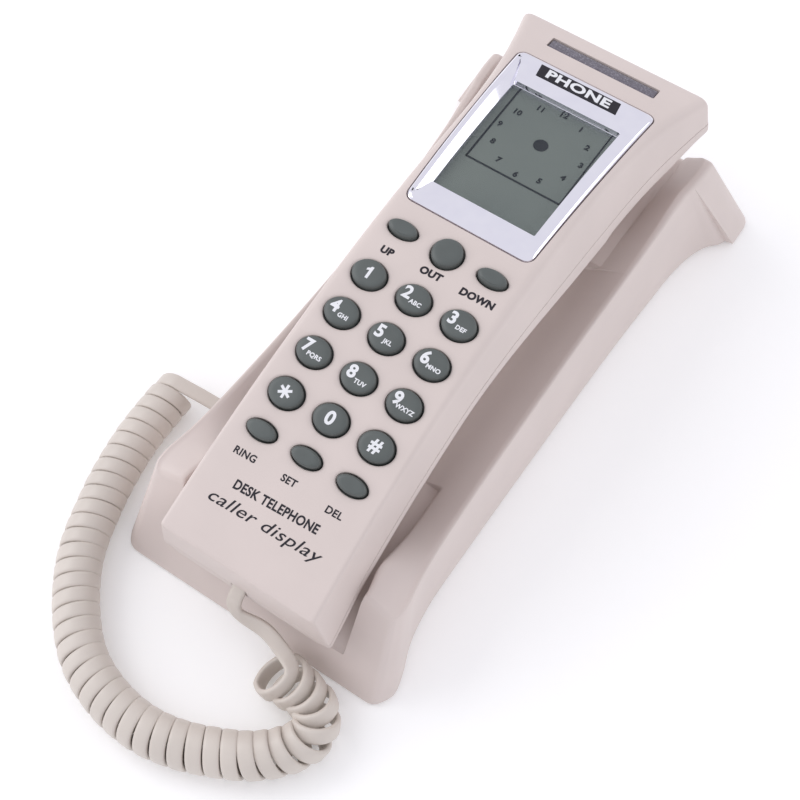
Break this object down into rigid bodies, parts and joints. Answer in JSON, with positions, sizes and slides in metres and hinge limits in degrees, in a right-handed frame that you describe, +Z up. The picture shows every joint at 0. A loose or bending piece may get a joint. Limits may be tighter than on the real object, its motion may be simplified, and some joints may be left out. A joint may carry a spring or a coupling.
{
  "type": "corded display telephone",
  "caption": "Corded telephone: an arched handset with keypad and display lying face up on a long waisted desk base, joined by a curly cord.",
  "frame": {"origin": "middle of the base's footprint on the surface that its four pads stand on, the cord and its plugs not counted", "axes": "+Z up, +Y along the phone from the mouthpiece end to the display end, +X to the right of someone who reads the keypad from the mouthpiece end"},
  "size_m": [0.1314, 0.275, 0.0721],
  "materials": {
    "shell": "satin",
    "keycap": "matte",
    "bezel_chrome": "polished",
    "window": "clear",
    "display": "satin",
    "lens": "polished",
    "cord_vinyl": "satin",
    "circuit_board": "satin",
    "rubber": "matte",
    "steel": "satin",
    "dark_plastic": "matte",
    "clear_plastic": "polished"
  },
  "bodies": {
    "base": {"base_top_shell": "shell", "base_bottom_cover": "shell", "base_screw_1": "steel", "base_screw_2": "steel", "base_screw_3": "steel", "base_screw_4": "steel", "foot_pad_1": "rubber", "foot_pad_2": "rubber", "foot_pad_3": "rubber", "foot_pad_4": "rubber", "base_weight": "steel", "base_board": "circuit_board", "ringer": "dark_plastic", "hook_switch": "dark_plastic", "hook_spring": "steel", "line_socket": "dark_plastic", "cord_socket": "dark_plastic", "base_plug": "clear_plastic", "cord_coil": "cord_vinyl", "cord_tail_base": "cord_vinyl"},
    "handset": {"handset_front_shell": "shell", "handset_rear_shell": "shell", "display_bezel": "bezel_chrome", "display_window": "window", "lcd_panel": "display", "ring_lamp_lens": "lens", "ring_lamp": "clear_plastic", "main_board": "circuit_board", "keypad_membrane": "rubber", "ear_speaker": "dark_plastic", "microphone": "dark_plastic", "handset_screw_1": "steel", "handset_screw_2": "steel", "handset_socket": "dark_plastic", "handset_plug": "clear_plastic", "cord_tail_handset": "cord_vinyl"},
    "hook_plunger": {"hook_plunger": "shell"},
    "key_1_cap": {"key_1": "keycap"},
    "key_2_cap": {"key_2": "keycap"},
    "key_3_cap": {"key_3": "keycap"},
    "key_4_cap": {"key_4": "keycap"},
    "key_5_cap": {"key_5": "keycap"},
    "key_6_cap": {"key_6": "keycap"},
    "key_7_cap": {"key_7": "keycap"},
    "key_8_cap": {"key_8": "keycap"},
    "key_9_cap": {"key_9": "keycap"},
    "key_star_cap": {"key_star": "keycap"},
    "key_0_cap": {"key_0": "keycap"},
    "key_hash_cap": {"key_hash": "keycap"},
    "key_up_cap": {"key_up": "keycap"},
    "key_out_cap": {"key_out": "keycap"},
    "key_down_cap": {"key_down": "keycap"},
    "key_ring_cap": {"key_ring": "keycap"},
    "key_set_cap": {"key_set": "keycap"},
    "key_del_cap": {"key_del": "keycap"}
  },
  "joints": [
    {"name": "handset_lift", "type": "slide", "parent": "base", "child": "handset", "axis": [0, 0, 1], "range_m": [0, 0.08]},
    {"name": "hook_plunger_travel", "type": "slide", "parent": "base", "child": "hook_plunger", "axis": [0, 0, 1], "range_m": [0, 0.004], "deforming": ["hook_spring"]},
    {"name": "key_1_press", "type": "slide", "parent": "handset", "child": "key_1_cap", "axis": [0, 0.1241, -0.9923], "range_m": [0, 0.0012], "stiffness_N_per_m": 150},
    {"name": "key_2_press", "type": "slide", "parent": "handset", "child": "key_2_cap", "axis": [0, 0.1241, -0.9923], "range_m": [0, 0.0012], "stiffness_N_per_m": 150},
    {"name": "key_3_press", "type": "slide", "parent": "handset", "child": "key_3_cap", "axis": [0, 0.1241, -0.9923], "range_m": [0, 0.0012], "stiffness_N_per_m": 150},
    {"name": "key_4_press", "type": "slide", "parent": "handset", "child": "key_4_cap", "axis": [0, 0.1674, -0.9859], "range_m": [0, 0.0012], "stiffness_N_per_m": 150},
    {"name": "key_5_press", "type": "slide", "parent": "handset", "child": "key_5_cap", "axis": [0, 0.1674, -0.9859], "range_m": [0, 0.0012], "stiffness_N_per_m": 150},
    {"name": "key_6_press", "type": "slide", "parent": "handset", "child": "key_6_cap", "axis": [0, 0.1674, -0.9859], "range_m": [0, 0.0012], "stiffness_N_per_m": 150},
    {"name": "key_7_press", "type": "slide", "parent": "handset", "child": "key_7_cap", "axis": [0, 0.2103, -0.9776], "range_m": [0, 0.0012], "stiffness_N_per_m": 150},
    {"name": "key_8_press", "type": "slide", "parent": "handset", "child": "key_8_cap", "axis": [0, 0.2103, -0.9776], "range_m": [0, 0.0012], "stiffness_N_per_m": 150},
    {"name": "key_9_press", "type": "slide", "parent": "handset", "child": "key_9_cap", "axis": [0, 0.2103, -0.9776], "range_m": [0, 0.0012], "stiffness_N_per_m": 150},
    {"name": "key_star_press", "type": "slide", "parent": "handset", "child": "key_star_cap", "axis": [0, 0.2528, -0.9675], "range_m": [0, 0.0012], "stiffness_N_per_m": 150},
    {"name": "key_0_press", "type": "slide", "parent": "handset", "child": "key_0_cap", "axis": [0, 0.2528, -0.9675], "range_m": [0, 0.0012], "stiffness_N_per_m": 150},
    {"name": "key_hash_press", "type": "slide", "parent": "handset", "child": "key_hash_cap", "axis": [0, 0.2528, -0.9675], "range_m": [0, 0.0012], "stiffness_N_per_m": 150},
    {"name": "key_up_press", "type": "slide", "parent": "handset", "child": "key_up_cap", "axis": [0, 0.0699, -0.9976], "range_m": [0, 0.0012], "stiffness_N_per_m": 150},
    {"name": "key_out_press", "type": "slide", "parent": "handset", "child": "key_out_cap", "axis": [0, 0.0699, -0.9976], "range_m": [0, 0.0012], "stiffness_N_per_m": 150},
    {"name": "key_down_press", "type": "slide", "parent": "handset", "child": "key_down_cap", "axis": [0, 0.0699, -0.9976], "range_m": [0, 0.0012], "stiffness_N_per_m": 150},
    {"name": "key_ring_press", "type": "slide", "parent": "handset", "child": "key_ring_cap", "axis": [0, 0.2901, -0.957], "range_m": [0, 0.0012], "stiffness_N_per_m": 150},
    {"name": "key_set_press", "type": "slide", "parent": "handset", "child": "key_set_cap", "axis": [0, 0.2901, -0.957], "range_m": [0, 0.0012], "stiffness_N_per_m": 150},
    {"name": "key_del_press", "type": "slide", "parent": "handset", "child": "key_del_cap", "axis": [0, 0.2901, -0.957], "range_m": [0, 0.0012], "stiffness_N_per_m": 150}
  ],
  "couplings": [
    {"joint": "hook_plunger_travel", "follows": "handset_lift", "ratio": 0.05}
  ]
}
